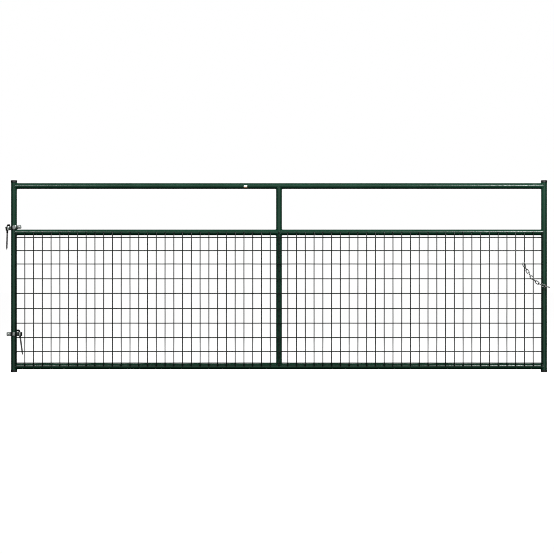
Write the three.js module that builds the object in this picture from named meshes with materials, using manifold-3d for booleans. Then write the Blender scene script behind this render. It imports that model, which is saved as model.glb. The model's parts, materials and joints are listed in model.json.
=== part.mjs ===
// A livestock panel gate: a welded round-tube frame, a welded wire panel under an open top bay, two
// bolted hinge collars with loose screw hooks in their eyes, and a latch chain on the latch stile.
// Millimetres. X runs from the hinge stile to the latch stile, -Y is the gate's front, Z is up, and
// the origin is the centre of the hinge stile's foot.

import * as THREE from "three";
import { mergeVertices } from "three/addons/utils/BufferGeometryUtils.js";
import Module from "manifold-3d";

const wasm = await Module();
wasm.setup();

// ---- driving dimensions ------------------------------------------------------------------------

const GATE_HEIGHT = 1270; // 50 in, over the end caps
const STILE_SPACING = 3510; // between the stiles' axes
const TUBE_RADIUS = 19.05; // 1-1/2 in tube
const TUBE_WALL = 1.6;
const TUBE_SIDES = 32;
const GAP = 0.3; // left between pieces that touch or are welded together

const RAIL_INSET = 38.1; // from the gate's foot and head to the outer rails' axes
const MIDDLE_RAIL_Z = 925;

const CAP_THICKNESS = 3;
const CAP_WALL = 1.2;
const CAP_SKIRT = 14; // from the cap's outer face to its rim

const WIRE = 6.35; // diameter of the panel's round wire
const VERTICAL_WIRES = 61;
const VERTICAL_PITCH = 57.94;
const VERTICAL_WIRE_FOOT = 42;
const HORIZONTAL_WIRE_END = 12.5; // from the stile's axis to the end of a horizontal wire
const LOWEST_HORIZONTAL_WIRE = 61.8;
const ROW_GAPS = [75, 92.6, 95.3, 96.4, 100.4, 96.5, 97.7, 88.3, 87.1]; // upwards

const STRAP_THICKNESS = 3.2;
const STRAP_HEIGHT = 25.4;
const STRAP_SPLIT = 3; // between the two ears, and between the two sides of the neck
const EYE_INNER = 12.7;
const NECK_REACH = 19.3; // from the loop's inside to the eye's axis
const EAR_END = 48.5; // from the loop's axis
const EAR_CORNER = 5;
const EAR_BOLT_X = -35;
const UPPER_COLLAR_Z = 956.6; // on the middle rail
const UPPER_LOOP_INNER = 21.4; // loose enough to sag on its stile
const UPPER_SAG = 8; // degrees by which the eye hangs below the ears
const LOWER_COLLAR_Z = 252;
const LOWER_LOOP_INNER = TUBE_RADIUS + GAP; // clamped tight

const BOLT_RADIUS = 3.95; // 5/16 in
const BOLT_HOLE_RADIUS = 4.3;
const HEX_RADIUS = 7.1; // to the corners
const HEAD_HEIGHT = 5.3;
const NUT_HEIGHT = 6.7;
const BOLT_TAIL = 2.5; // past the nut

const HOOK_RADIUS = 6.35; // 1/2 in rod
const HOOK_BEND = 12; // radius of the rod's centre line
const HOOK_PIN = 45; // from the shank's axis to the pin's end
const HOOK_SMOOTH = 58; // from the pin's axis to the thread
const HOOK_LENGTH = 165; // from the pin's axis to the point
const THREAD_RADIUS = 5.9;
const POINT_LENGTH = 14;
const HOOK_TILT = 2.5; // degrees by which the pin's end rises
const UPPER_HOOK = {
  x: -43.3, // of the shank, in its eye
  lift: 15.6, // from the collar's middle to the pin's axis
  pinAngle: 82, // degrees from +X, seen from above
  lean: -2.5, // degrees by which the hook's foot leans towards +X
};
const LOWER_HOOK = { x: 38.5, lift: 24.5, pinAngle: 126, lean: 9 };

const LINK_WIRE = 5.5; // 3/16 in proof coil chain
const LINK_WIDTH = 15.5; // between the centre lines of a link's legs
const LINK_LENGTH = 30.1; // between the centre lines of a link's ends
const LINK_CONTACT = LINK_WIRE + GAP; // between the wires of two links that pull on each other
const CHAIN_LINKS = 9;
const CHAIN_SAG = 105; // the catenary's parameter
const CHAIN_START = 20; // along the catenary from its lowest point
const CHAIN_Y = -42.5; // clear of the panel's front wires

const RING_WIRE = 6.35;
const RING_WIDTH = 28;
const RING_LENGTH = 33.6;
const RING_X = STILE_SPACING + 14;
const RING_Z = 566;
const RING_TILT = 15; // degrees by which the ring's inboard end rises
const RING_PLAY = 1.2; // between the ring and the first link, which crosses it aslant

// ---- materials ---------------------------------------------------------------------------------

const finish = (color, roughness, metalness) =>
  new THREE.MeshStandardMaterial({ color, roughness, metalness });

const greenCoat = finish(0x1c3f2e, 0.35, 0.1);
const wireCoat = finish(0x15261c, 0.4, 0.1);
const blackCap = finish(0x0d100e, 0.5, 0);
const zinc = finish(0x9fa3a3, 0.4, 0.9);
const darkSteel = finish(0x3a3c3e, 0.45, 0.8);

// ---- solids ------------------------------------------------------------------------------------

function solid(geometry) {
  const bare = geometry.clone();
  bare.deleteAttribute("normal");
  bare.deleteAttribute("uv");
  const merged = mergeVertices(bare, 1e-4);
  return new wasm.Manifold(
    new wasm.Mesh({
      numProp: 3,
      vertProperties: new Float32Array(merged.attributes.position.array),
      triVerts: new Uint32Array(merged.index.array),
    }),
  );
}

function geometryOf(shape) {
  const mesh = shape.getMesh();
  const geometry = new THREE.BufferGeometry();
  geometry.setAttribute("position", new THREE.BufferAttribute(mesh.vertProperties, 3));
  geometry.setIndex(new THREE.BufferAttribute(mesh.triVerts, 1));
  const faceted = geometry.toNonIndexed();
  faceted.computeVertexNormals();
  return faceted;
}

function block(low, high) {
  const size = new THREE.Vector3().subVectors(high, low);
  const centre = new THREE.Vector3().addVectors(low, high).multiplyScalar(0.5);
  const box = new THREE.BoxGeometry(size.x, size.y, size.z);
  return box.translate(centre.x, centre.y, centre.z);
}

// A solid round bar, from one point to another along one of the axes.
function bar(radius, sides, from, to) {
  const length = from.distanceTo(to);
  const rod = new THREE.CylinderGeometry(radius, radius, length, sides);
  const along = new THREE.Vector3().subVectors(to, from).normalize();
  const turn = new THREE.Quaternion().setFromUnitVectors(new THREE.Vector3(0, 1, 0), along);
  const centre = new THREE.Vector3().addVectors(from, to).multiplyScalar(0.5);
  return rod.applyQuaternion(turn).translate(centre.x, centre.y, centre.z);
}

const point = (x, y, z) => new THREE.Vector3(x, y, z);

// ---- the tube frame ----------------------------------------------------------------------------

const gate = new THREE.Group();

function place(name, geometry, material, parent = gate) {
  const mesh = new THREE.Mesh(geometry, material);
  mesh.name = name;
  parent.add(mesh);
  return mesh;
}

// An open-ended tube, coped to fit round the tubes that it is welded to.
function copedTube(from, to, neighbours) {
  let tube = solid(bar(TUBE_RADIUS, TUBE_SIDES, from, to));
  tube = tube.subtract(solid(boreOf(from, to)));
  for (const [start, end] of neighbours)
    tube = tube.subtract(solid(bar(TUBE_RADIUS + GAP, TUBE_SIDES, start, end)));
  return geometryOf(tube);
}

function boreOf(from, to) {
  const past = new THREE.Vector3().subVectors(to, from).normalize();
  return bar(TUBE_RADIUS - TUBE_WALL, TUBE_SIDES, from.clone().sub(past), to.clone().add(past));
}

const TUBE_END = CAP_THICKNESS + GAP;
const TOP_RAIL_Z = GATE_HEIGHT - RAIL_INSET;
const CENTRE_X = STILE_SPACING / 2;

const stileAxis = (x) => [point(x, 0, TUBE_END), point(x, 0, GATE_HEIGHT - TUBE_END)];
const railAxis = (z) => [point(0, 0, z), point(STILE_SPACING, 0, z)];
const stileAxes = [stileAxis(0), stileAxis(STILE_SPACING)];

place("hinge_stile", copedTube(...stileAxes[0], []), greenCoat);
place("latch_stile", copedTube(...stileAxes[1], []), greenCoat);
place("top_rail", copedTube(...railAxis(TOP_RAIL_Z), stileAxes), greenCoat);
place("middle_rail", copedTube(...railAxis(MIDDLE_RAIL_Z), stileAxes), greenCoat);
place("bottom_rail", copedTube(...railAxis(RAIL_INSET), stileAxes), greenCoat);

function centreBrace(lowZ, highZ) {
  const ends = [point(CENTRE_X, 0, lowZ), point(CENTRE_X, 0, highZ)];
  return copedTube(...ends, [railAxis(lowZ), railAxis(highZ)]);
}

place("upper_centre_brace", centreBrace(MIDDLE_RAIL_Z, TOP_RAIL_Z), greenCoat);
place("lower_centre_brace", centreBrace(RAIL_INSET, MIDDLE_RAIL_Z), greenCoat);

// A push-on end cap: a disc with a skirt outside the tube.
function endCap() {
  const inside = TUBE_RADIUS + GAP;
  const outside = inside + CAP_WALL;
  const edge = 1.2;
  const outline = [
    [0, 0],
    [outside - edge, 0],
    [outside, edge],
    [outside, CAP_SKIRT],
    [inside, CAP_SKIRT],
    [inside, CAP_THICKNESS],
    [0, CAP_THICKNESS],
  ].map(([r, z]) => new THREE.Vector2(r, z));
  return new THREE.LatheGeometry(outline, TUBE_SIDES).rotateX(Math.PI / 2);
}

for (const [stile, x] of [["hinge_stile", 0], ["latch_stile", STILE_SPACING]]) {
  place(`${stile}_foot_cap`, endCap(), blackCap).position.set(x, 0, 0);
  const headCap = place(`${stile}_head_cap`, endCap(), blackCap);
  headCap.position.set(x, 0, GATE_HEIGHT);
  headCap.rotation.x = Math.PI;
}

// ---- the wire panel ----------------------------------------------------------------------------

// Square bars of the round wire's section area: the vertical ones lie on the rails' fronts, and the
// horizontal ones are welded across the vertical ones' fronts.
function wirePanel() {
  const side = (WIRE * Math.sqrt(Math.PI)) / 2;
  const half = side / 2;
  const back = -TUBE_RADIUS - GAP;
  const middle = back - side;
  const front = middle - side;
  const firstX = CENTRE_X - ((VERTICAL_WIRES - 1) * VERTICAL_PITCH) / 2;
  const bars = [];
  for (let i = 0; i < VERTICAL_WIRES; i++) {
    const x = firstX + i * VERTICAL_PITCH;
    const low = point(x - half, middle, VERTICAL_WIRE_FOOT);
    bars.push(block(low, point(x + half, back, MIDDLE_RAIL_Z)));
  }
  let z = LOWEST_HORIZONTAL_WIRE;
  for (const gap of [0, ...ROW_GAPS]) {
    z += gap;
    const low = point(HORIZONTAL_WIRE_END, front, z - half);
    bars.push(block(low, point(STILE_SPACING - HORIZONTAL_WIRE_END, middle, z + half)));
  }
  return geometryOf(bars.map(solid).reduce((panel, next) => panel.add(next)));
}

place("wire_panel", wirePanel(), wireCoat);

// ---- hinge collars -----------------------------------------------------------------------------

const STRAP_FACE = STRAP_SPLIT / 2 + STRAP_THICKNESS; // from the collar's middle plane

// One strap bent into a loop round the stile and an eye beside it, with two ears that a bolt draws
// together. In a collar's own frame +X points to its eye, and Z is the loop's axis.
function collarStrap(loopInner) {
  const halfHeight = STRAP_HEIGHT / 2;
  const eyeX = loopInner + NECK_REACH;
  const reach = eyeX + EYE_INNER + 2 * STRAP_THICKNESS;
  const post = (radius, x, sides) =>
    solid(bar(radius, sides, point(x, 0, -halfHeight), point(x, 0, halfHeight)));
  const hole = (radius, x, sides) =>
    solid(bar(radius, sides, point(x, 0, -STRAP_HEIGHT), point(x, 0, STRAP_HEIGHT)));
  const flats = block(
    point(-EAR_END, -STRAP_FACE, -halfHeight),
    point(eyeX, STRAP_FACE, halfHeight),
  );
  const split = block(
    point(-2 * EAR_END, -STRAP_SPLIT / 2, -STRAP_HEIGHT),
    point(eyeX, STRAP_SPLIT / 2, STRAP_HEIGHT),
  );
  const boltHole = bar(
    BOLT_HOLE_RADIUS,
    16,
    point(EAR_BOLT_X, -EAR_END, 0),
    point(EAR_BOLT_X, EAR_END, 0),
  );
  return solid(flats)
    .add(post(loopInner + STRAP_THICKNESS, 0, TUBE_SIDES))
    .add(post(EYE_INNER + STRAP_THICKNESS, eyeX, 24))
    .subtract(hole(loopInner, 0, TUBE_SIDES))
    .subtract(hole(EYE_INNER, eyeX, 24))
    .subtract(solid(split))
    .subtract(solid(boltHole))
    .intersect(solid(earOutline(reach)));
}

// The strap seen from the front, with the ears' two corners rounded.
function earOutline(reach) {
  const top = STRAP_HEIGHT / 2;
  const left = -EAR_END;
  const outline = new THREE.Shape();
  outline.moveTo(reach, -top);
  outline.lineTo(reach, top);
  outline.lineTo(left + EAR_CORNER, top);
  outline.absarc(left + EAR_CORNER, top - EAR_CORNER, EAR_CORNER, Math.PI / 2, Math.PI);
  outline.absarc(left + EAR_CORNER, EAR_CORNER - top, EAR_CORNER, Math.PI, 1.5 * Math.PI);
  const plate = new THREE.ExtrudeGeometry(outline, {
    depth: 4 * TUBE_RADIUS,
    bevelEnabled: false,
    curveSegments: 4,
  });
  return plate.rotateX(Math.PI / 2).translate(0, 2 * TUBE_RADIUS, 0);
}

// A hexagon bar along Y with two of its flats facing +X and -X.
function hexagon(startY, endY, bore = 0) {
  const hex = new THREE.CylinderGeometry(HEX_RADIUS, HEX_RADIUS, endY - startY, 6);
  const body = solid(hex.translate(0, (startY + endY) / 2, 0));
  if (!bore) return body;
  return body.subtract(solid(bar(bore, 16, point(0, startY - 1, 0), point(0, endY + 1, 0))));
}

const NUT_START = STRAP_FACE + GAP;
const NUT_END = NUT_START + NUT_HEIGHT;

function hexBolt() {
  const head = hexagon(-STRAP_FACE - GAP - HEAD_HEIGHT, -STRAP_FACE - GAP);
  const start = point(0, -STRAP_FACE - HEAD_HEIGHT / 2, 0);
  const shank = solid(bar(BOLT_RADIUS, 16, start, point(0, NUT_END + BOLT_TAIL, 0)));
  return head.add(shank);
}

const hexNut = () => hexagon(NUT_START, NUT_END, BOLT_RADIUS + GAP);

const radians = THREE.MathUtils.degToRad;

// eyeSide is the side of the stile that the eye is on, and sag is how far the eye hangs, in degrees.
function collar(name, z, eyeSide, loopInner, sag) {
  const sagging = new THREE.Group();
  sagging.position.z = z;
  sagging.rotation.y = eyeSide * radians(sag);
  gate.add(sagging);
  const group = new THREE.Group();
  group.rotation.z = eyeSide < 0 ? Math.PI : 0;
  sagging.add(group);
  place(`${name}_collar_strap`, geometryOf(collarStrap(loopInner)), zinc, group);
  const fastener = new THREE.Group();
  fastener.position.x = EAR_BOLT_X;
  fastener.rotation.z = group.rotation.z;
  group.add(fastener);
  place(`${name}_collar_bolt`, geometryOf(hexBolt()), zinc, fastener);
  place(`${name}_collar_nut`, geometryOf(hexNut()), zinc, fastener);
}

collar("upper", UPPER_COLLAR_Z, -1, UPPER_LOOP_INNER, UPPER_SAG);
collar("lower", LOWER_COLLAR_Z, 1, LOWER_LOOP_INNER, 0);

// ---- screw hooks -------------------------------------------------------------------------------

const BEND_STEPS = 6;

// The centre line of the hook's smooth rod: its pin along +X, a quarter bend and the shank down -Z.
class HookLine extends THREE.Curve {
  getPoint(t, target = new THREE.Vector3()) {
    const step = t * (BEND_STEPS + 2);
    if (step < 1) return target.set(THREE.MathUtils.lerp(HOOK_PIN, HOOK_BEND, step), 0, 0);
    if (step > BEND_STEPS + 1) {
      const down = THREE.MathUtils.lerp(HOOK_BEND, HOOK_SMOOTH, step - BEND_STEPS - 1);
      return target.set(0, 0, -down);
    }
    const angle = ((step - 1) / BEND_STEPS) * (Math.PI / 2);
    return target.set(HOOK_BEND * (1 - Math.sin(angle)), 0, HOOK_BEND * (Math.cos(angle) - 1));
  }

  getUtoTmapping(u) {
    return u;
  }
}

function screwHook() {
  const section = new THREE.Shape();
  section.absarc(0, 0, HOOK_RADIUS, 0, 2 * Math.PI);
  const rod = new THREE.ExtrudeGeometry(section, {
    extrudePath: new HookLine(),
    steps: BEND_STEPS + 2,
    curveSegments: 14,
    bevelEnabled: false,
  });
  const thread = [
    [0, -HOOK_LENGTH],
    [THREAD_RADIUS, POINT_LENGTH - HOOK_LENGTH],
    [THREAD_RADIUS, 1 - HOOK_SMOOTH],
    [0, 1 - HOOK_SMOOTH],
  ].map(([r, z]) => new THREE.Vector2(r, z));
  const lag = new THREE.LatheGeometry(thread, 14).rotateX(Math.PI / 2);
  return geometryOf(solid(rod).add(solid(lag)));
}

// The hook hangs through its eye by the bend, with its pin over the collar.
function hangingHook(name, collarZ, { x, lift, pinAngle, lean }) {
  const swivel = new THREE.Group();
  swivel.position.set(x, 0, collarZ);
  swivel.rotation.set(0, -radians(lean), radians(pinAngle), "YZX");
  gate.add(swivel);
  const tilt = new THREE.Group();
  tilt.rotation.y = -radians(HOOK_TILT);
  swivel.add(tilt);
  place(name, screwHook(), darkSteel, tilt).position.z = lift;
}

hangingHook("upper_screw_hook", UPPER_COLLAR_Z, UPPER_HOOK);
hangingHook("lower_screw_hook", LOWER_COLLAR_Z, LOWER_HOOK);

// ---- latch chain -------------------------------------------------------------------------------

// An oval ring of round wire with its length along X, flat in the XY plane.
function ovalRing(wire, width, length, sides, turns) {
  const halfSegment = Math.PI / turns;
  const radius = width / 2 / Math.cos(halfSegment);
  const ring = new THREE.TorusGeometry(radius, wire / 2, sides, turns).rotateZ(halfSegment);
  const corners = ring.attributes.position;
  const stretch = (length - width) / 2;
  for (let i = 0; i < corners.count; i++)
    corners.setX(i, corners.getX(i) + Math.sign(corners.getX(i)) * stretch);
  return ring;
}

const RING_Y = -TUBE_RADIUS - GAP - RING_WIRE / 2 - RING_WIDTH / 2;
const ringTilt = radians(RING_TILT);

const anchorRing = place(
  "chain_anchor_ring",
  ovalRing(RING_WIRE, RING_WIDTH, RING_LENGTH, 8, 16),
  zinc,
);
anchorRing.position.set(RING_X, RING_Y, RING_Z);
anchorRing.rotation.y = ringTilt;

// Odd links lie flat in the chain's plane, and even ones stand across it. A flat link turns about
// the end of the standing link or ring that it hangs on.
function hangChain() {
  const bow = (RING_LENGTH - RING_WIDTH) / 2;
  const reach = bow + Math.sqrt((RING_WIDTH / 2) ** 2 - (CHAIN_Y - RING_Y) ** 2);
  let x = RING_X - reach * Math.cos(ringTilt);
  let z = RING_Z + reach * Math.sin(ringTilt);
  let along = CHAIN_START;
  for (let i = 1; i <= CHAIN_LINKS; i++) {
    const flat = i % 2 === 1;
    const ringContact = (LINK_WIRE + RING_WIRE) / 2 + RING_PLAY;
    const nearInset = flat ? (i === 1 ? ringContact : LINK_CONTACT) : 0;
    const farInset = flat ? LINK_CONTACT : 0;
    const span = LINK_LENGTH - nearInset - farInset;
    const rise = Math.atan((along + span / 2) / CHAIN_SAG);
    const toCentre = LINK_LENGTH / 2 - nearInset;
    const link = place(
      `chain_link_${i}`,
      ovalRing(LINK_WIRE, LINK_WIDTH, LINK_LENGTH, 6, 12),
      zinc,
    );
    link.position.set(x - toCentre * Math.cos(rise), CHAIN_Y, z + toCentre * Math.sin(rise));
    link.rotation.set(flat ? Math.PI / 2 : 0, rise, 0, "YXZ");
    x -= span * Math.cos(rise);
    z += span * Math.sin(rise);
    along += span;
  }
}

hangChain();

export default gate;
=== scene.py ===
# The looks of the livestock panel gate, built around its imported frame. Metres; X runs from the hinge
# stile to the latch stile, -Y is the gate's front and Z is up.
import json
import math
import random

import bmesh
import bpy
import numpy as np
from mathutils import Matrix, Vector


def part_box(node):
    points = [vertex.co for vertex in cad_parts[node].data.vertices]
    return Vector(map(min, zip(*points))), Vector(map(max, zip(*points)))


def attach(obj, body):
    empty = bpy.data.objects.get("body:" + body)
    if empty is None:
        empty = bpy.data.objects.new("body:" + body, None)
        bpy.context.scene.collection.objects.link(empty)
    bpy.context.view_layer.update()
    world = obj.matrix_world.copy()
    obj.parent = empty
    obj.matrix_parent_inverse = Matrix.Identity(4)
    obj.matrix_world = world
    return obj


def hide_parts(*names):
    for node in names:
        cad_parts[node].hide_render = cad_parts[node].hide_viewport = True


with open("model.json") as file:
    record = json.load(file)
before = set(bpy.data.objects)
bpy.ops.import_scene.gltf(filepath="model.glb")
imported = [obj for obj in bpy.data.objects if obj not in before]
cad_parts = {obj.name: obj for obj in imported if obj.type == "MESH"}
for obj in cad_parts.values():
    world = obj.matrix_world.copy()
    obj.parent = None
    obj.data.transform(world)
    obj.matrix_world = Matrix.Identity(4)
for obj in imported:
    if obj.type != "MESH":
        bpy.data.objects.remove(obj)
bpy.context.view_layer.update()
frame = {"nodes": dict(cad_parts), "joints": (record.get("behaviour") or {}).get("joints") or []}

random.seed(11)
MM = 0.001
FULL_TURN = 2 * math.pi


# ---- places and sizes, from the frame ------------------------------------------------------------

def centre_of(node):
    low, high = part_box(node)
    return (low + high) / 2


def size_of(node):
    low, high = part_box(node)
    return high - low


TUBE_RADIUS = size_of("hinge_stile").x / 2
TUBE_WALL = 1.6 * MM
GATE_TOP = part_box("hinge_stile_head_cap")[1].z
HINGE_X = centre_of("hinge_stile").x
LATCH_X = centre_of("latch_stile").x
CENTRE_X = centre_of("lower_centre_brace").x
TOP_Z = centre_of("top_rail").z
MIDDLE_Z = centre_of("middle_rail").z
BOTTOM_Z = centre_of("bottom_rail").z

WIRE_RADIUS = 3.175 * MM
VERTICAL_WIRES = 61
VERTICAL_PITCH = 57.94 * MM
ROW_GAPS = [75, 92.6, 95.3, 96.4, 100.4, 96.5, 97.7, 88.3, 87.1]  # millimetres, upwards
LOWEST_ROW_Z = 61.8 * MM
RAIL_WELD_DEPTH = 0.3 * MM  # a vertical wire's bite into the rails' fronts
CROSS_WELD_DEPTH = 0.85 * MM  # a horizontal wire's bite into the vertical ones
VERTICAL_WIRE_Y = -(TUBE_RADIUS + WIRE_RADIUS - RAIL_WELD_DEPTH)
HORIZONTAL_WIRE_Y = VERTICAL_WIRE_Y - 2 * WIRE_RADIUS + CROSS_WELD_DEPTH


# ---- materials -----------------------------------------------------------------------------------

class Paint:
    """A Principled material with helpers for its procedural detail."""

    def __init__(self, name, **sockets):
        self.material = bpy.data.materials.new(name)
        self.material.use_nodes = True
        self.tree = self.material.node_tree
        self.shader = self.tree.nodes["Principled BSDF"]
        for socket, value in sockets.items():
            self.shader.inputs[socket.replace("_", " ")].default_value = value
        self.place = self.node("ShaderNodeTexCoord").outputs["Object"]

    def node(self, kind, **values):
        made = self.tree.nodes.new(kind)
        for key, value in values.items():
            setattr(made, key, value)
        return made

    def link(self, source, target):
        self.tree.links.new(source, target)

    def stretched(self, x, y, z):
        mapping = self.node("ShaderNodeMapping")
        mapping.inputs["Scale"].default_value = (x, y, z)
        self.link(self.place, mapping.inputs["Vector"])
        return mapping.outputs["Vector"]

    def noise(self, scale, detail=3.0, roughness=0.55, vector=None):
        texture = self.node("ShaderNodeTexNoise")
        texture.inputs["Scale"].default_value = scale
        texture.inputs["Detail"].default_value = detail
        texture.inputs["Roughness"].default_value = roughness
        self.link(vector or self.place, texture.inputs["Vector"])
        return texture.outputs["Fac"]

    def spangle(self, scale):
        texture = self.node("ShaderNodeTexVoronoi")
        texture.inputs["Scale"].default_value = scale
        self.link(self.place, texture.inputs["Vector"])
        split = self.node("ShaderNodeSeparateColor")
        self.link(texture.outputs["Color"], split.inputs["Color"])
        return split.outputs["Red"]

    def ranged(self, value, low, high, to_low=0.0, to_high=1.0):
        step = self.node("ShaderNodeMapRange")
        step.interpolation_type = "SMOOTHSTEP"
        for socket, number in zip(("From Min", "From Max", "To Min", "To Max"), (low, high, to_low, to_high)):
            step.inputs[socket].default_value = number
        self.link(value, step.inputs["Value"])
        return step.outputs["Result"]

    def mixed(self, factor, colour_a, colour_b):
        mix = self.node("ShaderNodeMix", data_type="RGBA")
        self.link(factor, mix.inputs["Factor"])
        for socket, colour in zip((mix.inputs["A"], mix.inputs["B"]), (colour_a, colour_b)):
            if isinstance(colour, bpy.types.NodeSocket):
                self.link(colour, socket)
            else:
                socket.default_value = (*colour, 1)
        return mix.outputs["Result"]

    def colour(self, source):
        self.link(source, self.shader.inputs["Base Color"])

    def roughness(self, value, low, high):
        self.link(self.ranged(value, 0.3, 0.7, low, high), self.shader.inputs["Roughness"])

    def bump(self, *layers):
        """Each layer is a height from 0 to 1, its depth in metres, and its strength."""
        last = None
        for height, depth, strength in layers:
            bump = self.node("ShaderNodeBump")
            bump.inputs["Strength"].default_value = strength
            bump.inputs["Distance"].default_value = depth
            self.link(height, bump.inputs["Height"])
            if last:
                self.link(last, bump.inputs["Normal"])
            last = bump.outputs["Normal"]
        self.link(last, self.shader.inputs["Normal"])


def powder_coat(name, deep, light, roughness):
    """Glossy powder coat: a faint drift in its colour, and the orange peel of a baked coat."""
    paint = Paint(name, Metallic=0.0, IOR=1.38)
    drift = paint.ranged(paint.noise(5, 4), 0.35, 0.65)
    dust = paint.ranged(paint.noise(420, 2), 0.62, 0.8, 0.0, 0.35)
    paint.colour(paint.mixed(dust, paint.mixed(drift, deep, light), (0.10, 0.14, 0.11)))
    paint.roughness(paint.noise(60, 4), *roughness)
    paint.bump((paint.noise(260, 2), 0.00012, 0.5), (paint.noise(900, 2), 0.00004, 0.35))
    return paint.material


def moulded_plastic():
    paint = Paint("black_moulded_plastic", Metallic=0.0, IOR=1.49)
    mottle = paint.ranged(paint.noise(90, 4), 0.35, 0.7)
    paint.colour(paint.mixed(mottle, (0.006, 0.007, 0.0065), (0.016, 0.018, 0.017)))
    paint.roughness(paint.noise(300, 3), 0.38, 0.56)
    paint.bump((paint.noise(1500, 2), 0.00005, 0.4))
    return paint.material


def plated_steel(name, dark, bright, roughness, spangle_scale, brushed):
    """Zinc-plated steel: crystal patches, fine rolling marks, and a dull bloom in places."""
    paint = Paint(name, Metallic=1.0)
    crystals = paint.spangle(spangle_scale)
    bloom = paint.ranged(paint.noise(120, 4), 0.42, 0.68, 0.0, 0.55)
    metal = paint.mixed(crystals, dark, bright)
    paint.colour(paint.mixed(bloom, metal, tuple(0.62 * c for c in dark)))
    marks = paint.noise(1.0, 3, 0.6, paint.stretched(*brushed))
    paint.roughness(marks, *roughness)
    paint.bump((marks, 0.00004, 0.4), (paint.noise(700, 3), 0.00005, 0.3))
    return paint.material


def dark_rod():
    """Hot-rolled rod steel under a thin dark coat, rubbed lighter in places."""
    paint = Paint("dark_rod_steel", Metallic=0.75)
    rubbed = paint.ranged(paint.noise(140, 5, 0.65), 0.5, 0.72)
    paint.colour(paint.mixed(rubbed, (0.006, 0.006, 0.0065), (0.05, 0.05, 0.05)))
    paint.roughness(paint.noise(220, 4), 0.4, 0.62)
    paint.bump((paint.noise(380, 4), 0.00010, 0.45))
    return paint.material


def cut_thread():
    """The bare steel of a rolled thread, with dirt left in its roots."""
    paint = Paint("rolled_thread_steel", Metallic=0.9)
    dirt = paint.ranged(paint.noise(260, 4, 0.6), 0.45, 0.7)
    paint.colour(paint.mixed(dirt, (0.36, 0.36, 0.365), (0.18, 0.18, 0.18)))
    paint.roughness(paint.noise(300, 3), 0.36, 0.55)
    paint.bump((paint.noise(800, 3), 0.00005, 0.4))
    return paint.material


def printed_film(name, colour, shade):
    paint = Paint(name, Metallic=0.0, Coat_Weight=0.4, Coat_Roughness=0.1)
    paint.colour(paint.mixed(paint.ranged(paint.noise(180, 3), 0.4, 0.65), colour, shade))
    paint.roughness(paint.noise(200, 2), 0.3, 0.42)
    paint.bump((paint.noise(400, 2), 0.00005, 0.3))
    return paint.material


def studio_floor():
    """Pale, and as bright in itself as the background, so that the two meet without a line."""
    paint = Paint("pale_floor", Roughness=0.9, Emission_Color=(1, 1, 1, 1), Emission_Strength=0.97)
    paint.colour(paint.mixed(paint.noise(2, 2), (0.09, 0.09, 0.09), (0.11, 0.11, 0.11)))
    return paint.material


GREEN = powder_coat("green_powder_coat", (0.004, 0.0255, 0.013), (0.0055, 0.032, 0.0172), (0.2, 0.3))
WIRE_GREEN = powder_coat("wire_powder_coat", (0.002, 0.005, 0.0035), (0.003, 0.008, 0.005), (0.3, 0.42))
PLASTIC = moulded_plastic()
STRAP_ZINC = plated_steel(
    "plated_strap", (0.26, 0.29, 0.27), (0.46, 0.50, 0.48), (0.18, 0.30), 260, (60, 60, 1400))
FASTENER_ZINC = plated_steel(
    "plated_fastener", (0.50, 0.52, 0.50), (0.72, 0.74, 0.72), (0.18, 0.30), 500, (900, 60, 900))
CHAIN_ZINC = plated_steel(
    "plated_chain", (0.34, 0.36, 0.35), (0.58, 0.60, 0.59), (0.22, 0.36), 420, (300, 300, 300))
ROD_STEEL = dark_rod()
THREAD_STEEL = cut_thread()
LABEL_WHITE = printed_film("plain_label_white", (0.75, 0.76, 0.72), (0.66, 0.67, 0.63))
LABEL_AMBER = printed_film("plain_label_amber", (0.42, 0.24, 0.14), (0.34, 0.19, 0.10))


# ---- meshes --------------------------------------------------------------------------------------

class Shape:
    """Points, faces and each face's material number, gathered from one or more solids."""

    def __init__(self):
        self.points = []
        self.faces = []
        self.numbers = []

    def add(self, points, faces, number=0):
        start = len(self.points)
        self.points.extend(tuple(p) for p in points)
        self.faces.extend(tuple(start + i for i in face) for face in faces)
        self.numbers.extend([number] * len(faces))
        return self

    def rings(self, rings, looped=False, number=0):
        """A skin over rings of points, closed at both ends unless the last ring meets the first."""
        rings = np.asarray(rings, float)
        count, around = rings.shape[:2]
        faces = []
        for i in range(count if looped else count - 1):
            here, there = i * around, ((i + 1) % count) * around
            for j in range(around):
                k = (j + 1) % around
                faces.append((here + j, here + k, there + k, there + j))
        if not looped:
            faces.append(tuple(range(around))[::-1])
            faces.append(tuple(range((count - 1) * around, count * around)))
        return self.add(rings.reshape(-1, 3), faces, number)

    def moved(self, matrix):
        self.points = [tuple(matrix @ Vector(p)) for p in self.points]
        return self


def piece(name, shape, materials, body="root", replaces=(), sharp=38):
    """An object of a shape, riding on a body, with smooth shading except at its sharp edges."""
    mesh = bpy.data.meshes.new(name)
    mesh.from_pydata(shape.points, [], shape.faces)
    for material in materials:
        mesh.materials.append(material)
    mesh.polygons.foreach_set("material_index", shape.numbers)
    work = bmesh.new()
    work.from_mesh(mesh)
    bmesh.ops.recalc_face_normals(work, faces=work.faces)
    work.to_mesh(mesh)
    work.free()
    mesh.shade_smooth()
    mesh.set_sharp_from_angle(angle=math.radians(sharp))
    made = bpy.data.objects.new(name, mesh)
    bpy.context.scene.collection.objects.link(made)
    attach(made, body)
    if replaces:
        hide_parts(*replaces)


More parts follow.
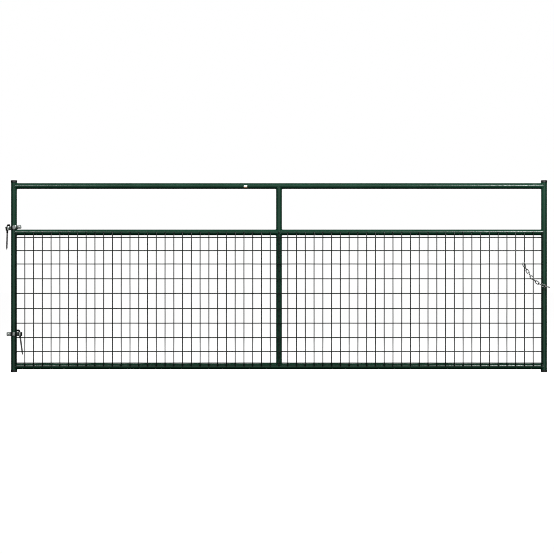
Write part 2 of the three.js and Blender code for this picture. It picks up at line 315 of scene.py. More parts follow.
def swept(path, normals, radii, sides, looped=False):
    """Rings of round sections along a path, set square to it. The normals say where each one starts."""
    path = np.asarray(path, float)
    normals = np.asarray(normals, float)
    radii = np.broadcast_to(np.asarray(radii, float), (len(path),))
    if looped:
        along = np.roll(path, -1, 0) - np.roll(path, 1, 0)
    else:
        along = np.gradient(path, axis=0)
    along /= np.linalg.norm(along, axis=1)[:, None]
    normals = normals - (normals * along).sum(1)[:, None] * along
    normals /= np.linalg.norm(normals, axis=1)[:, None]
    across = np.cross(along, normals)
    turn = np.arange(sides) * FULL_TURN / sides
    spokes = normals[:, None] * np.cos(turn)[None, :, None] + across[:, None] * np.sin(turn)[None, :, None]
    return path[:, None] + radii[:, None, None] * spokes


def blob(centre, radii, around=8, levels=5):
    """A slightly irregular flattened ball, as a small weld leaves."""
    rings = []
    for i in range(levels):
        lift = math.pi * (i + 0.5) / levels
        ring = []
        for j in range(around):
            turn = FULL_TURN * j / around
            swell = random.uniform(0.93, 1.07)
            ring.append((
                centre[0] + radii[0] * swell * math.sin(lift) * math.cos(turn),
                centre[1] - radii[1] * math.cos(lift),
                centre[2] + radii[2] * swell * math.sin(lift) * math.sin(turn),
            ))
        rings.append(ring)
    return rings


def turned(profile, sides, along=(0, 0, 1)):
    """Rings of a turned solid. The profile is (radius, height) pairs, and along is the axis."""
    turn = np.arange(sides) * FULL_TURN / sides
    axis = Vector(along)
    side = axis.orthogonal().normalized()
    other = axis.cross(side)
    spokes = np.cos(turn)[:, None] * np.array(side) + np.sin(turn)[:, None] * np.array(other)
    return [r * spokes + h * np.array(axis) for r, h in profile]


def rounded(radius, start_angle, end_angle, centre, steps=4):
    """Points of an arc, with angles in degrees."""
    angles = np.radians(np.linspace(start_angle, end_angle, steps + 1))
    return [(centre[0] + radius * math.cos(a), centre[1] + radius * math.sin(a)) for a in angles]


# ---- tubes and their welds -----------------------------------------------------------------------

TUBE_SIDES = 64
RING_SPACING = 0.08
DEPTH = Vector((0, 1, 0))


def saddle(radius, turn):
    """How far from a tube's axis the end of another tube of the same size is, at each angle."""
    return np.sqrt(np.maximum(TUBE_RADIUS**2 - (radius * np.cos(turn)) ** 2, 0))


def tube_rings(start, end, radius, coped):
    start, end = Vector(start), Vector(end)
    axis = (end - start).normalized()
    side = axis.cross(DEPTH)
    turn = np.arange(TUBE_SIDES) * FULL_TURN / TUBE_SIDES
    spokes = radius * (np.cos(turn)[:, None] * np.array(DEPTH) + np.sin(turn)[:, None] * np.array(side))
    inset = saddle(radius, turn) if coped else np.zeros(TUBE_SIDES)
    length = (end - start).length
    rings = []
    for share in np.linspace(0, 1, max(2, round(length / RING_SPACING))):
        run = inset + share * (length - 2 * inset)
        rings.append(np.array(start) + spokes + run[:, None] * np.array(axis))
    return rings


def tube(node, start, end, coped):
    outside = tube_rings(start, end, TUBE_RADIUS, coped)
    inside = tube_rings(start, end, TUBE_RADIUS - TUBE_WALL, coped)
    shape = Shape().rings(outside + [inside[-1], inside[0]], looped=True)
    piece(f"{node}_tube", shape, [GREEN], replaces=[node])


BEAD_STEPS = 264
BEAD_SIDES = 12
BEAD_RADIUS = 3.1 * MM
BEAD_RIPPLES = 66
BEAD_CORNER = 3.5 * MM  # rounds the point where the two halves of the seam meet


def weld_bead(joint, axis):
    """The bead round the coped end of a tube that leaves joint, on another tube's axis, along axis."""
    axis = Vector(axis)
    side = axis.cross(DEPTH)
    turn = np.arange(BEAD_STEPS) * FULL_TURN / BEAD_STEPS
    sine, cosine = np.sin(turn), np.cos(turn)
    run = np.sqrt((TUBE_RADIUS * sine) ** 2 + BEAD_CORNER**2)
    own_normal = cosine[:, None] * np.array(DEPTH) + sine[:, None] * np.array(side)
    seam = np.array(joint) + TUBE_RADIUS * own_normal + run[:, None] * np.array(axis)
    flat = TUBE_RADIUS * cosine[:, None] * np.array(DEPTH) + run[:, None] * np.array(axis)
    outward = own_normal + flat / np.linalg.norm(flat, axis=1)[:, None]
    outward /= np.linalg.norm(outward, axis=1)[:, None]
    ripple = 0.12 * np.abs(np.sin(BEAD_RIPPLES / 2 * turn))
    wander = 0.05 * np.sin(5 * turn + random.uniform(0, 6)) + 0.04 * np.sin(9 * turn + random.uniform(0, 6))
    radii = BEAD_RADIUS * (0.92 + ripple + wander)
    stand = BEAD_RADIUS * (0.62 * np.abs(sine) - 0.5)
    centres = seam + stand[:, None] * outward
    return swept(centres, outward, radii, BEAD_SIDES, looped=True)


def build_frame_tubes():
    for node in ("hinge_stile", "latch_stile"):
        low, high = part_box(node)
        x = centre_of(node).x
        tube(node, (x, 0, low.z), (x, 0, high.z), coped=False)
    for node in ("top_rail", "middle_rail", "bottom_rail"):
        z = centre_of(node).z
        tube(node, (HINGE_X, 0, z), (LATCH_X, 0, z), coped=True)
    for node, low, high in (
        ("upper_centre_brace", MIDDLE_Z, TOP_Z),
        ("lower_centre_brace", BOTTOM_Z, MIDDLE_Z),
    ):
        tube(node, (CENTRE_X, 0, low), (CENTRE_X, 0, high), coped=True)


def build_frame_welds():
    beads = Shape()
    for z in (TOP_Z, MIDDLE_Z, BOTTOM_Z):
        beads.rings(weld_bead((HINGE_X, 0, z), (1, 0, 0)), looped=True)
        beads.rings(weld_bead((LATCH_X, 0, z), (-1, 0, 0)), looped=True)
    for z, way in ((MIDDLE_Z, 1), (TOP_Z, -1), (BOTTOM_Z, 1), (MIDDLE_Z, -1)):
        beads.rings(weld_bead((CENTRE_X, 0, z), (0, 0, way)), looped=True)
    piece("frame_weld_beads", beads, [GREEN], sharp=60)


# ---- end caps ------------------------------------------------------------------------------------

CAP_INSIDE = TUBE_RADIUS + 0.3 * MM
CAP_RADIUS = size_of("hinge_stile_foot_cap").x / 2
CAP_SKIRT = size_of("hinge_stile_foot_cap").z
CAP_THICKNESS = 3 * MM
CAP_EDGE = 1.6 * MM  # radius of its outer edge


def end_cap(node, z, way):
    """A push-on cap, with its outer face at z and its skirt going the given way, up or down."""
    profile = [(0.9 * MM, 0.25 * MM), (1.3 * MM, 0.1 * MM), (1.7 * MM, 0)]
    profile += [(CAP_RADIUS - 5.2 * MM, 0), (CAP_RADIUS - 4.8 * MM, 0.35 * MM)]
    profile += [(CAP_RADIUS - 4.2 * MM, 0.35 * MM), (CAP_RADIUS - 3.8 * MM, 0)]
    profile += rounded(CAP_EDGE, -90, 0, (CAP_RADIUS - CAP_EDGE, CAP_EDGE), 6)
    profile += [(CAP_RADIUS - 0.05 * MM, 0.5 * CAP_SKIRT), (CAP_RADIUS - 0.1 * MM, CAP_SKIRT - 2.6 * MM)]
    profile += [(CAP_RADIUS, CAP_SKIRT - 2.2 * MM), (CAP_RADIUS, CAP_SKIRT - 0.35 * MM)]
    profile += [(CAP_RADIUS - 0.3 * MM, CAP_SKIRT), (CAP_INSIDE + 0.2 * MM, CAP_SKIRT)]
    profile += [(CAP_INSIDE, CAP_SKIRT - 0.2 * MM), (CAP_INSIDE, CAP_THICKNESS), (1 * MM, CAP_THICKNESS)]
    shape = Shape().rings(turned([(r, way * h) for r, h in profile], TUBE_SIDES))
    shape.moved(Matrix.Translation((centre_of(node).x, 0, z)))
    piece(f"{node}_moulding", shape, [PLASTIC], replaces=[node])


def build_end_caps():
    for stile in ("hinge_stile", "latch_stile"):
        end_cap(f"{stile}_foot_cap", 0, 1)
        end_cap(f"{stile}_head_cap", GATE_TOP, -1)


# ---- the wire panel ------------------------------------------------------------------------------

WIRE_SIDES = 16
WIRE_WAVE = 0.25 * MM
row_heights = np.cumsum([LOWEST_ROW_Z] + [gap * MM for gap in ROW_GAPS])
column_places = CENTRE_X + (np.arange(VERTICAL_WIRES) - (VERTICAL_WIRES - 1) / 2) * VERTICAL_PITCH


def wire(start, end, stations):
    """A round wire with clipped, slightly rounded ends, and a faint wave between its welds."""
    start, end = np.array(start, float), np.array(end, float)
    along = (end - start) / np.linalg.norm(end - start)
    across = np.cross(along, (0, 1, 0))
    inner = [start + (end - start) * share for share in np.linspace(0, 1, stations)[1:-1]]
    inner = [p + across * random.uniform(-WIRE_WAVE, WIRE_WAVE) for p in inner]
    tip = 0.7 * MM
    path = [start, start + 0.3 * tip * along, start + tip * along, *inner]
    path += [end - tip * along, end - 0.3 * tip * along, end]
    radii = np.full(len(path), WIRE_RADIUS)
    radii[[0, -1]] = 0.78 * WIRE_RADIUS
    radii[[1, -2]] = 0.93 * WIRE_RADIUS
    return swept(path, [(0, -1, 0)] * len(path), radii, WIRE_SIDES)


def build_wire_panel():
    low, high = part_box("wire_panel")
    columns, rows, crossings, tacks = Shape(), Shape(), Shape(), Shape()
    for x in column_places:
        columns.rings(wire((x, VERTICAL_WIRE_Y, low.z), (x, VERTICAL_WIRE_Y, high.z), 12))
        for z in (low.z + 1.5 * MM, high.z - 2 * MM):
            place = (x + random.uniform(-1, 1) * MM, -TUBE_RADIUS - 0.7 * MM, z)
            tacks.rings(blob(place, (5.2 * MM, 1.9 * MM, 5.6 * MM), 14, 7))
    for z in row_heights:
        rows.rings(wire((low.x, HORIZONTAL_WIRE_Y, z), (high.x, HORIZONTAL_WIRE_Y, z), 62))
        for x in column_places:
            place = (x, (VERTICAL_WIRE_Y + HORIZONTAL_WIRE_Y) / 2, z)
            swell = random.uniform(0.92, 1.12)
            crossings.rings(blob(place, (4.1 * swell * MM, 1.25 * MM, 4.1 * swell * MM), 10, 5))
    for z in (row_heights[:-1] + row_heights[1:]) / 2:
        for side in (-1, 1):
            place = (CENTRE_X + side * 1.6 * MM, -TUBE_RADIUS - 0.6 * MM, z)
            tacks.rings(blob(place, (3.4 * MM, 1.5 * MM, 7 * MM), 14, 7))
    piece("panel_vertical_wires", columns, [WIRE_GREEN], replaces=["wire_panel"])
    piece("panel_horizontal_wires", rows, [WIRE_GREEN], replaces=["wire_panel"])
    piece("panel_crossing_welds", crossings, [WIRE_GREEN], sharp=80)
    piece("panel_tack_welds", tacks, [WIRE_GREEN], sharp=80)


# ---- hinge collars -------------------------------------------------------------------------------

STRAP_THICKNESS = 3.2 * MM
STRAP_HEIGHT = 25.4 * MM
STRAP_LINE = 3.1 * MM  # from the collar's middle plane to the middle of the strap's flats
EYE_LINE = 12.7 * MM + STRAP_THICKNESS / 2
NECK_REACH = 19.3 * MM  # from the loop's inside to the eye's axis
EAR_END = 48.5 * MM
EAR_CORNER = 5 * MM
EAR_BOLT_X = 35 * MM
LOOP_FILLET = 3 * MM
NECK_FILLET = 2.4 * MM
SECTION_CORNER = 0.7 * MM
BOLT_FLATS = (-37 * MM, -31 * MM)  # keeps the ears flat round the bolt's hole

HOOK_SEATS = {joint["child"]: Vector(joint["pos_m"]) for joint in frame["joints"]}
COLLARS = {  # the side of the stile that the eye is on, the loop's inside radius, and its sag
    "upper": (-1, 21.4 * MM, 8),
    "lower": (1, TUBE_RADIUS + 0.3 * MM, 0),
}


def tangent_point(radius, fillet):
    """Where a fillet's centre is that joins the strap's flat to a round bend, and its angle there."""
    rise = STRAP_LINE + fillet
    reach = math.sqrt((radius + fillet) ** 2 - rise**2)
    return reach, math.degrees(math.atan2(rise, reach))


def strap_line(loop_inner):
    """The middle line of the strap: ear, loop, neck, eye, and back, as points in the XY plane."""
    loop_line = loop_inner + STRAP_THICKNESS / 2
    eye_x = loop_inner + NECK_REACH
    ear_reach, ear_angle = tangent_point(loop_line, LOOP_FILLET)
    loop_reach, loop_angle = tangent_point(loop_line, NECK_FILLET)
    eye_reach, eye_angle = tangent_point(EYE_LINE, NECK_FILLET)
    ear_y = STRAP_LINE + LOOP_FILLET
    neck_y = STRAP_LINE + NECK_FILLET
    half = [(-EAR_END + EAR_CORNER * share, STRAP_LINE) for share in (0, 0.06, 0.2, 0.42, 0.7, 1)]
    half += [(x, STRAP_LINE) for x in BOLT_FLATS]
    half += rounded(LOOP_FILLET, -90, -ear_angle, (-ear_reach, ear_y), 7)
    half += rounded(loop_line, 180 - ear_angle, loop_angle, (0, 0), 34)[1:]
    half += rounded(NECK_FILLET, 180 + loop_angle, 270, (loop_reach, neck_y), 7)[1:]
    half += rounded(NECK_FILLET, -90, -eye_angle, (eye_x - eye_reach, neck_y), 7)
    half += rounded(EYE_LINE, 180 - eye_angle, 0, (eye_x, 0), 30)[1:]
    half = np.array(half)
    return np.vstack([half, half[-2::-1] * (1, -1)])


def strap_section():
    """The strap's rounded rectangle, as (across, up) pairs."""
    half_thick = STRAP_THICKNESS / 2 - SECTION_CORNER
    half_high = STRAP_HEIGHT / 2 - SECTION_CORNER
    outline = []
    for start, across, up in ((0, 1, 1), (90, -1, 1), (180, -1, -1), (270, 1, -1)):
        outline += rounded(SECTION_CORNER, start, start + 90, (across * half_thick, up * half_high), 3)
    return outline


def collar_place(name):
    """Carries a collar's own frame, with its eye towards +X, to where the collar hangs."""
    eye_side, _, sag = COLLARS[name]
    place = Matrix.Translation((HINGE_X, 0, HOOK_SEATS[f"{name}_hook"].z))
    place @= Matrix.Rotation(math.radians(eye_side * sag), 4, "Y")
    return place @ Matrix.Rotation(math.pi if eye_side < 0 else 0, 4, "Z")


def collar_strap(name):
    line = strap_line(COLLARS[name][1])
    along = np.gradient(line, axis=0)
    along /= np.linalg.norm(along, axis=1)[:, None]
    rings = []
    for (x, y), (run, rise) in zip(line, along):
        from_end = min(x + EAR_END, EAR_CORNER)
        lost = EAR_CORNER - math.sqrt(EAR_CORNER**2 - (EAR_CORNER - from_end) ** 2)
        rings.append([
            (x - rise * across, y + run * across, up - math.copysign(lost, up))
            for across, up in strap_section()
        ])
    shape = Shape().rings(rings).moved(collar_place(name))
    node = f"{name}_collar_strap"
    piece(f"{node}_bent", shape, [STRAP_ZINC], replaces=[node])


HEX_APOTHEM = 6.15 * MM
BOLT_RADIUS = 3.95 * MM
THREAD_PITCH = 1.41 * MM
HEX_SIDES = 96
HEX_FACE = 0.97 * HEX_APOTHEM  # the round face that the chamfer leaves
HEX_CHAMFER = math.tan(math.radians(28))
BORE_CHAMFER = 0.5 * MM
HEAD_HEIGHT = 5.3 * MM


def hex_rings(start, end, chamfer_start, chamfer_end, bore):
    """Rings of a hexagon bar along Y. Chamfered ends are cut by a cone, as a bolt's head is."""
    turn = np.arange(HEX_SIDES) * FULL_TURN / HEX_SIDES
    fold = np.mod(turn + FULL_TURN / 12, FULL_TURN / 6) - FULL_TURN / 12
    rim = HEX_APOTHEM / np.cos(fold)
    spokes = np.stack([np.cos(turn), np.zeros(HEX_SIDES), np.sin(turn)], 1)
    way = math.copysign(1, end - start)

    def ring(radius, level):
        return spokes * radius[:, None] + np.stack([0 * turn, level, 0 * turn], 1)

    def cut(radius, chamfered):
        return np.maximum(radius - HEX_FACE, 0) * HEX_CHAMFER if chamfered else 0 * radius

    rings = []
    for share in (0, 0.5, 1):
        radius = HEX_FACE + (rim - HEX_FACE) * share
        rings.append(ring(radius, start + way * cut(radius, chamfer_start)))
    for share in (1, 0.5, 0):
        radius = HEX_FACE + (rim - HEX_FACE) * share
        rings.append(ring(radius, end - way * cut(radius, chamfer_end)))
    inner = np.full(HEX_SIDES, bore)
    if bore:
        rings.append(ring(inner + BORE_CHAMFER, end + 0 * turn))
        rings.append(ring(inner, end - way * BORE_CHAMFER + 0 * turn))
        rings.append(ring(inner, start + way * BORE_CHAMFER + 0 * turn))
        rings.append(ring(inner + BORE_CHAMFER, start + 0 * turn))
    return rings


def thread_shape(core, crest, pitch, start, end, tooth, steps=12, sides=36):
    """A screw thread along Z. core and crest give a radius at a height, and tooth is its share of a pitch."""
    shape = Shape()
    rows = int(math.ceil((end - start) / pitch * steps)) + steps + 1
    points = []
    for row in range(rows):
        for side in range(sides):
            z = start + pitch * (row / steps - 1 + side / sides)
            z = min(max(z, start), end)
            phase = ((z - start) / pitch - side / sides) % 1.0
            height = max(0.0, 1 - abs(phase - 0.5) / (tooth / 2))
            radius = core(z) + (crest(z) - core(z)) * min(1.0, 1.25 * height)
            turn = FULL_TURN * side / sides
            points.append((radius * math.cos(turn), radius * math.sin(turn), z))
    faces = []
    for row in range(rows - 1):
        for side in range(sides):
            here = row * sides + side
            if side < sides - 1:
                faces.append((here, here + 1, here + 1 + sides, here + sides))
            elif row + 1 + steps < rows:
                wrap = (row + steps) * sides
                faces.append((here, wrap, wrap + sides, here + sides))
    return shape.add(points, faces)


def capped_threads(shape, merge):
    """Merges a thread's collapsed end rows and closes its two open rims."""
    mesh = bpy.data.meshes.new("thread_work")
    mesh.from_pydata(shape.points, [], shape.faces)
    work = bmesh.new()
    work.from_mesh(mesh)
    bmesh.ops.remove_doubles(work, verts=work.verts, dist=merge)
    bmesh.ops.dissolve_degenerate(work, dist=merge, edges=work.edges)
    rims = [edge for edge in work.edges if edge.is_boundary]
    bmesh.ops.holes_fill(work, edges=rims, sides=0)
    work.verts.index_update()
    points = [tuple(v.co) for v in work.verts]
    faces = [tuple(v.index for v in face.verts) for face in work.faces]
    work.free()
    bpy.data.meshes.remove(mesh)
    return points, faces


ALONG_Y = Matrix(((1, 0, 0, 0), (0, 0, 1, 0), (0, -1, 0, 0), (0, 0, 0, 1)))  # sends +Z to +Y


def fastener_place(name):
    """Carries a bolt along +Y to its hole through a collar's ears."""
    eye_side = COLLARS[name][0]
    place = collar_place(name) @ Matrix.Translation((-EAR_BOLT_X, 0, 0))
    return place @ Matrix.Rotation(math.pi if eye_side < 0 else 0, 4, "Z")


def bolt(name):
    node = f"{name}_collar_bolt"
    low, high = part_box(node)
    nut_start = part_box(f"{name}_collar_nut")[0].y
    head_end = low.y + HEAD_HEIGHT
    shape = Shape().rings(hex_rings(head_end, low.y, False, True, 0))
    shank = [(BOLT_RADIUS, head_end - 1 * MM), (BOLT_RADIUS, nut_start)]
    shape.rings(turned(shank, 36, (0, 1, 0)))
    thread = thread_shape(
        lambda z: BOLT_RADIUS - 0.55 * MM,
        lambda z: BOLT_RADIUS - max(0.0, z - high.y + 0.8 * MM) * 0.7,
        THREAD_PITCH, nut_start - 0.5 * MM, high.y, 0.9)
    points, faces = capped_threads(thread, 0.01 * MM)
    shape.add([tuple(ALONG_Y @ Vector(p)) for p in points], faces)
    shape.moved(fastener_place(name))
    piece(f"{node}_chamfered", shape, [FASTENER_ZINC], replaces=[node], sharp=30)


def nut(name):
    node = f"{name}_collar_nut"
    low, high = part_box(node)
    rings = hex_rings(low.y, high.y, True, True, BOLT_RADIUS + 0.1 * MM)
    shape = Shape().rings(rings, looped=True).moved(fastener_place(name))
    piece(f"{node}_chamfered", shape, [FASTENER_ZINC], replaces=[node], sharp=30)


def build_collars():
    for name in COLLARS:
        collar_strap(name)
        bolt(name)
        nut(name)


# ---- screw hooks ---------------------------------------------------------------------------------

ROD_RADIUS = 6.35 * MM
BEND_RADIUS = 12 * MM
PIN_LENGTH = 45 * MM
SMOOTH_LENGTH = 52 * MM
HOOK_LENGTH = 165 * MM
POINT_LENGTH = 17 * MM
LAG_PITCH = 5.2 * MM
LAG_ROOT = 4.6 * MM
LAG_CREST = 6.3 * MM
NECK_RADIUS = 4.8 * MM  # where the rod narrows to its thread
ROD_CHAMFER = 1.2 * MM
HOOK_TILT = 2.5  # degrees by which the pin's end rises
HOOKS = {  # the pin's height over the collar's middle, its angle from +X, and the lean to +X
    "upper": (15.6 * MM, 82, -2.5),
    "lower": (24.5 * MM, 126, 9),
}


def rod_line():
    """The rod's middle line from the pin's end round the bend and down the shank, in its own frame."""
    line = [(x, 0, 0) for x in np.linspace(PIN_LENGTH, BEND_RADIUS, 8)]
    for x, z in rounded(BEND_RADIUS, 90, 180, (BEND_RADIUS, -BEND_RADIUS), 14)[1:]:
        line.append((x, 0, z))
    line += [(0, 0, z) for z in np.linspace(-BEND_RADIUS, 3 * MM - SMOOTH_LENGTH, 8)[1:]]
    return line


def screw_hook(name):
    lift, pin_angle, lean = HOOKS[name]
    node = f"{name}_screw_hook"
    body = f"{name}_hook"
    line = rod_line()
    line = [line[0], (PIN_LENGTH - 0.4 * ROD_CHAMFER, 0, 0), (PIN_LENGTH - ROD_CHAMFER, 0, 0), *line[1:]]
    radii = np.full(len(line), ROD_RADIUS)
    radii[:2] = ROD_RADIUS - ROD_CHAMFER, ROD_RADIUS - 0.35 * ROD_CHAMFER
    line += [(0, 0, -SMOOTH_LENGTH)]
    radii = np.append(radii, NECK_RADIUS)
    shape = Shape().rings(swept(line, [(0, 1, 0)] * len(line), radii, 32))

    def tapered(full):
        return lambda z: max(0.15 * MM, full * min(1.0, (z + HOOK_LENGTH) / POINT_LENGTH) ** 0.8)

    thread = thread_shape(
        tapered(LAG_ROOT), tapered(LAG_CREST), LAG_PITCH, -HOOK_LENGTH, 1 * MM - SMOOTH_LENGTH, 0.46)
    points, faces = capped_threads(thread, 0.01 * MM)
    shape.add(points, faces, 1)
    place = Matrix.Translation(HOOK_SEATS[body])
    place @= Matrix.Rotation(math.radians(-lean), 4, "Y")
    place @= Matrix.Rotation(math.radians(pin_angle), 4, "Z")
    place @= Matrix.Rotation(math.radians(-HOOK_TILT), 4, "Y")
    place @= Matrix.Translation((0, 0, lift))
    shape.moved(place)
    piece(
        f"{node}_forging", shape, [ROD_STEEL, THREAD_STEEL], body, [node], sharp=32)


def build_hooks():
    for name in HOOKS:
        screw_hook(name)


# ---- latch chain ---------------------------------------------------------------------------------

CHAIN_LINKS = 9
LINK_WIRE_RADIUS = 2.75 * MM
LINK_WIDTH = 15.5 * MM
LINK_LENGTH = 30.1 * MM
RING_WIRE_RADIUS = 2.98 * MM
RING_WIDTH = 28 * MM
RING_LENGTH = 33.6 * MM
SEAM_SPREAD = 1.1 * MM  # half the width of a butt weld's swell


def place_of(node):
    """Where a CAD ring or link is: its centre, its length along X and its wire's plane in XY."""
    corners = np.array([v.co for v in frame["nodes"][node].data.vertices])
    corners = np.unique(np.round(corners, 6), axis=0)
    centre = (corners.min(0) + corners.max(0)) / 2
    axes = np.linalg.eigh(np.cov((corners - centre).T))[1][:, ::-1]
    axes[:, 2] *= np.sign(np.linalg.det(axes))
    place = Matrix(axes.tolist()).to_4x4()
    place.translation = Vector(centre)
    return place


def oval(wire_radius, width, length, seam=0.1, steps=22, sides=20):
    """A bent and butt-welded ring: two half circles and two legs, with the weld's swell on one leg."""
    leg = (length - width) / 2
    line = rounded(width / 2, -90, 90, (leg, 0), steps)
    leg_steps = np.linspace(leg, -leg, 12)[1:-1]
    line += [(x, width / 2) for x in leg_steps]
    line += rounded(width / 2, 90, 270, (-leg, 0), steps)
    line += [(-x, -width / 2) for x in leg_steps]
    line = np.array(line)
    outward = line - np.stack([np.clip(line[:, 0], -leg, leg), 0 * line[:, 0]], 1)
    from_seam = np.hypot(line[:, 0], line[:, 1] - width / 2)
    radii = wire_radius * (1 + seam * np.exp(-((from_seam / SEAM_SPREAD) ** 2)))
    flat = np.zeros((len(line), 1))
    rings = swept(np.hstack([line, flat]), np.hstack([outward, flat]), radii, sides, looped=True)
    return Shape().rings(rings, looped=True)


def build_chain():
    ring = oval(RING_WIRE_RADIUS, RING_WIDTH, RING_LENGTH, seam=0).moved(place_of("chain_anchor_ring"))
    piece("chain_anchor_ring_bar", ring, [CHAIN_ZINC], replaces=["chain_anchor_ring"])
    for number in range(1, CHAIN_LINKS + 1):
        node = f"chain_link_{number}"
        link = oval(LINK_WIRE_RADIUS, LINK_WIDTH, LINK_LENGTH).moved(place_of(node))
        piece(f"{node}_round", link, [CHAIN_ZINC], f"link_{number}", [node])


def build_ring_weld():
    """The weld that fills the gap between the anchor ring and the front of the latch stile."""
    place = place_of("chain_anchor_ring")
    leg = (RING_LENGTH - RING_WIDTH) / 2
    axis = Vector((LATCH_X, 0, 0))
    seats = []
    for turn in np.linspace(0, FULL_TURN, 145):
        x = math.copysign(leg, math.cos(turn)) + RING_WIDTH / 2 * math.cos(turn)
        spot = place @ Vector((x, RING_WIDTH / 2 * math.sin(turn), 0))
        away = Vector((spot.x - axis.x, spot.y, 0))
        seats.append((away.length, spot, away.normalized()))
    closest = min(range(len(seats)), key=lambda i: seats[i][0])
    path, normals, radii = [], [], []
    span = 12
    for step in range(-span, span + 1):
        distance, spot, away = seats[(closest + step) % 144]
        path.append(spot - away * (distance - TUBE_RADIUS - 1.1 * MM) * 0.72)
        normals.append(away)
        share = step / (span + 0.4)
        radii.append(3.3 * MM * math.sqrt(1 - share * share) * (1 + 0.06 * math.sin(2.4 * step)))
    shape = Shape().rings(swept(path, normals, radii, 16))
    piece("anchor_ring_weld", shape, [GREEN], sharp=70)


# ---- the label -----------------------------------------------------------------------------------

LABEL_X = 1533.5 * MM
LABEL_LENGTH = 22 * MM
LABEL_FILM = 0.18 * MM
LABEL_CORNER = 2.5 * MM
LABEL_ANGLES = (-37, 17)  # degrees round the top rail, from straight in front
LABEL_SPLIT = -18  # where its two colours meet


def build_label():
    """A plain two-colour sticker with rounded corners on the front of the top rail."""
    shape = Shape()
    for low, high, number in ((LABEL_ANGLES[0], LABEL_SPLIT, 1), (LABEL_SPLIT, LABEL_ANGLES[1], 0)):
        rings = []
        for angle in np.linspace(low, high, 9):
            from_edge = min(angle - LABEL_ANGLES[0], LABEL_ANGLES[1] - angle)
            rise = min(math.radians(from_edge) * TUBE_RADIUS, LABEL_CORNER)
            rounding = math.sqrt(LABEL_CORNER**2 - (LABEL_CORNER - rise) ** 2)
            half = LABEL_LENGTH / 2 - LABEL_CORNER + rounding
            turn = math.radians(angle)
            ring = []
            for x, radius in (
                (-half, TUBE_RADIUS - 0.05 * MM),
                (half, TUBE_RADIUS - 0.05 * MM),
                (half, TUBE_RADIUS + LABEL_FILM),
                (-half, TUBE_RADIUS + LABEL_FILM),
            ):
                ring.append((LABEL_X + x, -radius * math.cos(turn), TOP_Z + radius * math.sin(turn)))
            rings.append(ring)
        shape.rings(rings, number=number)
    piece("plain_label", shape, [LABEL_WHITE, LABEL_AMBER])


# ---- studio --------------------------------------------------------------------------------------

CAMERA_DISTANCE = 12
VIEW_WIDTH = 3.6627  # across the picture at the gate's front
CAMERA_OFFSET = Vector((-0.0133, 0, -0.0053))  # from the gate's middle
FLOOR_RADIUS = 60
FLOOR_Z = -0.6 * MM
PIXEL_FILTER = 0.9  # the render filter's width in pixels, for the photo's sharpness
FRONT_GLOW = 1.0  # the studio's radiance in front of the gate
DIM_GLOW = 0.1  # and overhead


def build_floor():
    rings = [
        [(r * math.cos(a) + CENTRE_X, r * math.sin(a), FLOOR_Z) for a in np.linspace(0, FULL_TURN, 97)[:-1]]
        for r in (0.5, 2, 6, 20, FLOOR_RADIUS)
    ]
    mesh = bpy.data.meshes.new("floor")
    around = len(rings[0])
    faces = [tuple(range(around))]
    for i in range(len(rings) - 1):
        for j in range(around):
            k = (j + 1) % around
            faces.append((i * around + j, (i + 1) * around + j, (i + 1) * around + k, i * around + k))
    mesh.from_pydata([p for ring in rings for p in ring], [], faces)
    mesh.materials.append(studio_floor())
    floor = bpy.data.objects.new("floor", mesh)
    bpy.context.scene.collection.objects.link(floor)
    floor.visible_glossy = False
    floor.visible_diffuse = False


def softbox(name, place, target, width, height, power, mirrored=True):
    """A rectangular lamp. One that isn't mirrored lights the gate without showing in its gloss."""
    light = bpy.data.lights.new(name, "AREA")
    light.shape = "RECTANGLE"
    light.size = width
    light.size_y = height
    light.energy = power
    made = bpy.data.objects.new(name, light)
    made.location = place
    made.rotation_euler = (Vector(target) - Vector(place)).to_track_quat("-Z", "Y").to_euler()
    made.visible_glossy = mirrored
    bpy.context.scene.collection.objects.link(made)


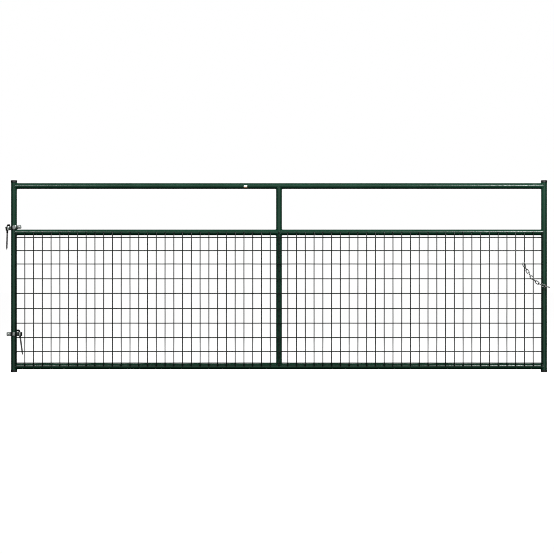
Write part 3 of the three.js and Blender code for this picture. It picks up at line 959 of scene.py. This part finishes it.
def build_sky():
    """A dim studio with one soft glow in front of the gate, before a white background."""
    world = bpy.data.worlds.new("studio")
    bpy.context.scene.world = world
    world.use_nodes = True
    tree = world.node_tree
    tree.nodes.clear()

    def node(kind, **values):
        made = tree.nodes.new(kind)
        for key, value in values.items():
            setattr(made, key, value)
        return made

    def stepped(source, low, high, to_low, to_high):
        step = node("ShaderNodeMapRange", interpolation_type="SMOOTHSTEP")
        for socket, number in zip(("From Min", "From Max", "To Min", "To Max"), (low, high, to_low, to_high)):
            step.inputs[socket].default_value = number
        tree.links.new(source, step.inputs["Value"])
        return step.outputs["Result"]

    def combined(operation, a, b):
        result = node("ShaderNodeMath", operation=operation)
        tree.links.new(a, result.inputs[0])
        tree.links.new(b, result.inputs[1])
        return result.outputs[0]

    way = node("ShaderNodeSeparateXYZ")
    tree.links.new(node("ShaderNodeTexCoord").outputs["Generated"], way.inputs[0])
    facing = stepped(way.outputs["Y"], -0.72, -0.93, 0, 1)
    not_below = stepped(way.outputs["Z"], -0.4, -0.05, 0, FRONT_GLOW)
    not_above = stepped(way.outputs["Z"], 0.4, 0.8, 1, 0)
    front = combined("MULTIPLY", combined("MULTIPLY", facing, not_below), not_above)
    above = stepped(way.outputs["Z"], -0.1, 0.5, 0.03, DIM_GLOW)
    glow = node("ShaderNodeBackground")
    tree.links.new(combined("ADD", front, above), glow.inputs["Strength"])
    white = node("ShaderNodeBackground")
    white.inputs["Color"].default_value = (1, 1, 1, 1)
    mix = node("ShaderNodeMixShader")
    tree.links.new(node("ShaderNodeLightPath").outputs["Is Camera Ray"], mix.inputs[0])
    tree.links.new(glow.outputs[0], mix.inputs[1])
    tree.links.new(white.outputs[0], mix.inputs[2])
    tree.links.new(mix.outputs[0], node("ShaderNodeOutputWorld").inputs[0])


def build_camera():
    camera = bpy.data.cameras.new("camera")
    camera.sensor_width = 36
    camera.lens = camera.sensor_width * CAMERA_DISTANCE / VIEW_WIDTH
    camera.clip_end = 200
    made = bpy.data.objects.new("camera", camera)
    front = -TUBE_RADIUS - CAMERA_DISTANCE
    made.location = Vector((CENTRE_X, front, GATE_TOP / 2)) + CAMERA_OFFSET
    made.rotation_euler = (math.pi / 2, 0, 0)
    bpy.context.scene.collection.objects.link(made)
    bpy.context.scene.camera = made


def build_studio():
    bpy.context.scene.view_settings.view_transform = "Standard"
    bpy.context.scene.cycles.filter_width = PIXEL_FILTER
    build_floor()
    build_sky()
    middle = (CENTRE_X, 0, GATE_TOP / 2)
    softbox("top_lamp", (CENTRE_X, -3.2, 6.2), middle, 8, 2.5, 700, mirrored=False)
    softbox("back_lamp", (CENTRE_X, 5.0, 3.0), middle, 8, 3, 300, mirrored=False)
    softbox("right_lamp", (3.85, -3.2, 2.9), (3.4, 0, 1.0), 0.5, 0.5, 110)
    softbox("left_lamp", (-0.45, -3.2, 2.9), (0.1, 0, 1.0), 0.5, 0.5, 34)


build_camera()
build_studio()
build_frame_tubes()
build_frame_welds()
build_end_caps()
build_wire_panel()
build_collars()
build_hooks()
build_chain()
build_ring_weld()
build_label()
